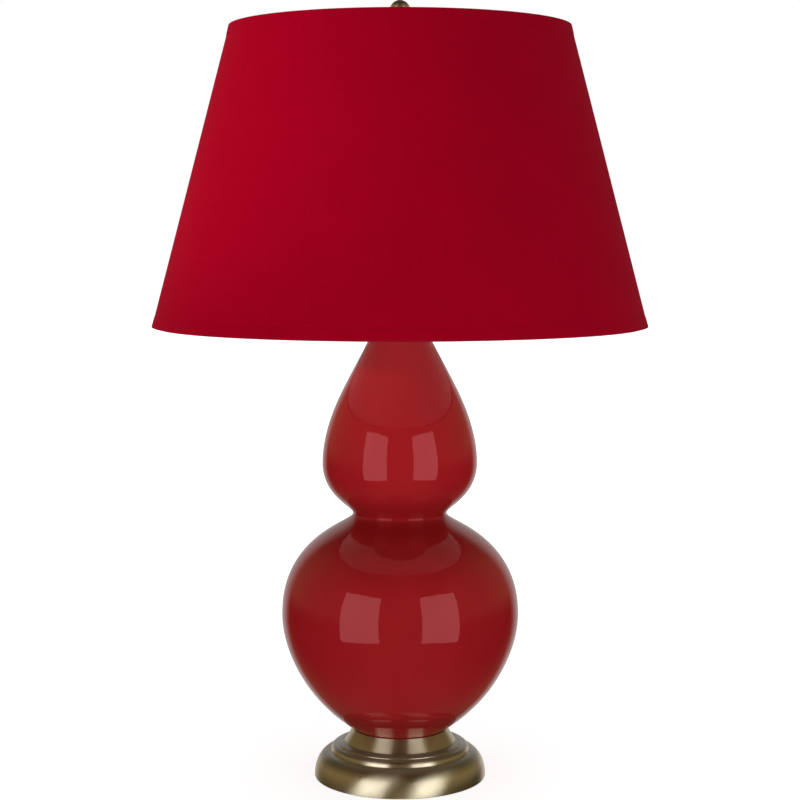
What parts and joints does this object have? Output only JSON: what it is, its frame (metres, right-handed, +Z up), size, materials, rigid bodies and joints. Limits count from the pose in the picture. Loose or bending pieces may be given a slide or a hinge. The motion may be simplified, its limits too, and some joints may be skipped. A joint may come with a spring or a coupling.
{
  "type": "table lamp",
  "caption": "Table lamp with a glazed double gourd body, a stepped brass pedestal, a tapered drum shade on a harp, and a ball finial.",
  "frame": {"origin": "centre of the felt pad's underside, on the table under the lamp's axis", "axes": "+Z up along the lamp's axis; -Y is the front, where the switch key points; +Y is the back, where the cord inlet is"},
  "size_m": [0.484, 0.484, 0.7692],
  "materials": {
    "antique_brass": "aged, lightly lacquered, satin with dark patina",
    "fitting_brass": "polished brass plate",
    "red_glaze": "deep crimson high-gloss glaze",
    "shade_cloth": "crimson plain-weave shade cloth, matt",
    "shade_styrene": "translucent off-white styrene",
    "ballast_iron": "black painted casting",
    "zinc_steel": "zinc-plated steel",
    "black_felt": "self-adhesive felt",
    "black_rubber": "matt",
    "black_phenolic": "moulded thermoset",
    "insulating_card": "pressed fibre",
    "bulb_glass": "frosted white",
    "bulb_metal": "plain"
  },
  "bodies": {
    "lamp": {"base_shell": "antique_brass", "base_pad": "black_felt", "base_weight": "ballast_iron", "cord_inlet": "black_rubber", "pipe_washer": "zinc_steel", "pipe_nut": "zinc_steel", "lamp_pipe": "zinc_steel", "foot_gasket": "black_rubber", "gourd_body": "red_glaze", "neck_gasket": "black_rubber", "vase_cap": "antique_brass", "neck_spacer": "antique_brass", "harp_saddle": "fitting_brass", "harp_bow": "fitting_brass", "harp_stud": "fitting_brass", "socket_cap": "fitting_brass", "socket_set_screw": "zinc_steel", "socket_shell": "fitting_brass", "socket_liner": "insulating_card", "socket_core": "black_phenolic", "terminal_screws": "fitting_brass", "socket_screw_shell": "fitting_brass", "socket_tongue": "fitting_brass"},
    "ferrule_left": {"ferrule_left": "fitting_brass"},
    "ferrule_right": {"ferrule_right": "fitting_brass"},
    "switch": {"switch_stem": "zinc_steel", "switch_knob": "black_phenolic"},
    "bulb": {"bulb_globe": "bulb_glass", "bulb_cap": "bulb_metal", "bulb_insulator": "black_phenolic", "bulb_button": "zinc_steel"},
    "shade": {"shade_fabric": "shade_cloth", "shade_liner": "shade_styrene", "shade_top_trim": "shade_cloth", "shade_bottom_trim": "shade_cloth", "shade_bottom_ring": "zinc_steel", "shade_spider": "fitting_brass"},
    "finial": {"finial": "antique_brass"}
  },
  "joints": [
    {"name": "shade_lift", "type": "slide", "parent": "lamp", "child": "shade", "axis": [0, 0, 1], "range_m": [0, 0.3]},
    {"name": "finial_turn", "type": "hinge", "parent": "shade", "child": "finial", "pos_m": [0, 0, 0.75], "axis": [0, 0, 1], "continuous": true},
    {"name": "bulb_turn", "type": "hinge", "parent": "lamp", "child": "bulb", "pos_m": [0, 0, 0.6], "axis": [0, 0, 1], "continuous": true},
    {"name": "switch_turn", "type": "hinge", "parent": "lamp", "child": "switch", "pos_m": [0, -0.02, 0.5339], "axis": [0, -1, 0], "continuous": true},
    {"name": "ferrule_left_slide", "type": "slide", "parent": "lamp", "child": "ferrule_left", "axis": [0, 0, 1], "range_m": [0, 0.012]},
    {"name": "ferrule_right_slide", "type": "slide", "parent": "lamp", "child": "ferrule_right", "axis": [0, 0, 1], "range_m": [0, 0.012]}
  ]
}
